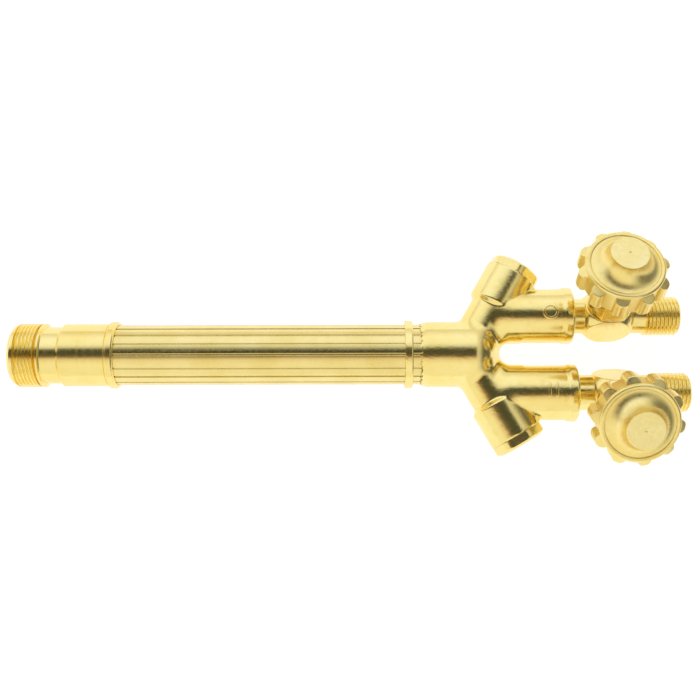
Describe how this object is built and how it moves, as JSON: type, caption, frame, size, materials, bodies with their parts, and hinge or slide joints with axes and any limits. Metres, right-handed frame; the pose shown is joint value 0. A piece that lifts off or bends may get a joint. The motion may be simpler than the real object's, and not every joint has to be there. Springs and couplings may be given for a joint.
{
  "type": "oxy-fuel torch handle",
  "caption": "Brass oxy-fuel torch handle for glass and welding tips: threaded head, grooved grip, forged Y yoke with check valves, and lugged knobs.",
  "frame": {"origin": "centre of the handle's front face, on its axis", "axes": "+X along the handle towards the hoses, +Y the oxygen side, +Z the side that the knobs stand on"},
  "size_m": [0.2433, 0.0814, 0.0524],
  "materials": {
    "head_brass": "turned, fine lathe rings",
    "grip_brass": "drawn, fine lengthwise lines",
    "yoke_brass": "hot forged and bright dipped, slightly mottled",
    "cap_brass": "turned hexagon bar",
    "valve_brass": "turned square bar",
    "nut_brass": "turned hexagon bar",
    "knob_brass": "cast and tumbled, satin",
    "button_brass": "faced, satin",
    "inner_brass": "machined",
    "tube_copper": "drawn copper tube, silver brazed",
    "sintered_steel": "sintered stainless grains",
    "spring_steel": "spring wire",
    "ball_steel": "polished stainless ball",
    "stem_steel": "turned stainless",
    "seal_rubber": "moulded",
    "packing_ptfe": "turned"
  },
  "bodies": {
    "handle": {"front_head": "head_brass", "grip_tube": "grip_brass", "oxygen_tube": "tube_copper", "fuel_tube": "tube_copper", "yoke_body": "yoke_brass", "oxygen_arrestor_cap": "cap_brass", "oxygen_cap_seal": "seal_rubber", "oxygen_flame_filter": "sintered_steel", "oxygen_filter_seat": "inner_brass", "oxygen_check_spring": "spring_steel", "oxygen_valve_body": "valve_brass", "oxygen_packing_ring": "packing_ptfe", "oxygen_gland_washer": "inner_brass", "oxygen_packing_nut": "nut_brass", "fuel_arrestor_cap": "cap_brass", "fuel_cap_seal": "seal_rubber", "fuel_flame_filter": "sintered_steel", "fuel_filter_seat": "inner_brass", "fuel_check_spring": "spring_steel", "fuel_valve_body": "valve_brass", "fuel_packing_ring": "packing_ptfe", "fuel_gland_washer": "inner_brass", "fuel_packing_nut": "nut_brass"},
    "oxygen_lift": {"oxygen_seat_ball": "ball_steel"},
    "oxygen_turn": {"oxygen_valve_stem": "stem_steel", "oxygen_control_knob": "knob_brass", "oxygen_knob_insert": "button_brass"},
    "oxygen_poppet": {"oxygen_check_poppet": "inner_brass"},
    "fuel_lift": {"fuel_seat_ball": "ball_steel"},
    "fuel_turn": {"fuel_valve_stem": "stem_steel", "fuel_control_knob": "knob_brass", "fuel_knob_insert": "button_brass"},
    "fuel_poppet": {"fuel_check_poppet": "inner_brass"}
  },
  "joints": [
    {"name": "oxygen_stem_lift", "type": "slide", "parent": "handle", "child": "oxygen_lift", "axis": [0, 0.3584, 0.9336], "range_m": [0, 0.0016]},
    {"name": "oxygen_knob_turn", "type": "hinge", "parent": "oxygen_lift", "child": "oxygen_turn", "pos_m": [0.2152, 0.0141, 0], "axis": [0, 0.3584, 0.9336], "range_deg": [0, 720]},
    {"name": "oxygen_check_valve", "type": "slide", "parent": "handle", "child": "oxygen_poppet", "axis": [-0.5, -0.866, 0], "range_m": [0, 0.0012], "stiffness_N_per_m": 100, "springref_m": -0.001, "deforming": ["oxygen_check_spring"]},
    {"name": "fuel_stem_lift", "type": "slide", "parent": "handle", "child": "fuel_lift", "axis": [0, -0.4067, 0.9135], "range_m": [0, 0.0016]},
    {"name": "fuel_knob_turn", "type": "hinge", "parent": "fuel_lift", "child": "fuel_turn", "pos_m": [0.2174, -0.0141, 0], "axis": [0, -0.4067, 0.9135], "range_deg": [0, 720]},
    {"name": "fuel_check_valve", "type": "slide", "parent": "handle", "child": "fuel_poppet", "axis": [-0.5, 0.866, 0], "range_m": [0, 0.0012], "stiffness_N_per_m": 100, "springref_m": -0.001, "deforming": ["fuel_check_spring"]}
  ],
  "couplings": [
    {"joint": "oxygen_knob_turn", "follows": "oxygen_stem_lift", "rad_per_m": 7854},
    {"joint": "fuel_knob_turn", "follows": "fuel_stem_lift", "rad_per_m": 7854}
  ]
}
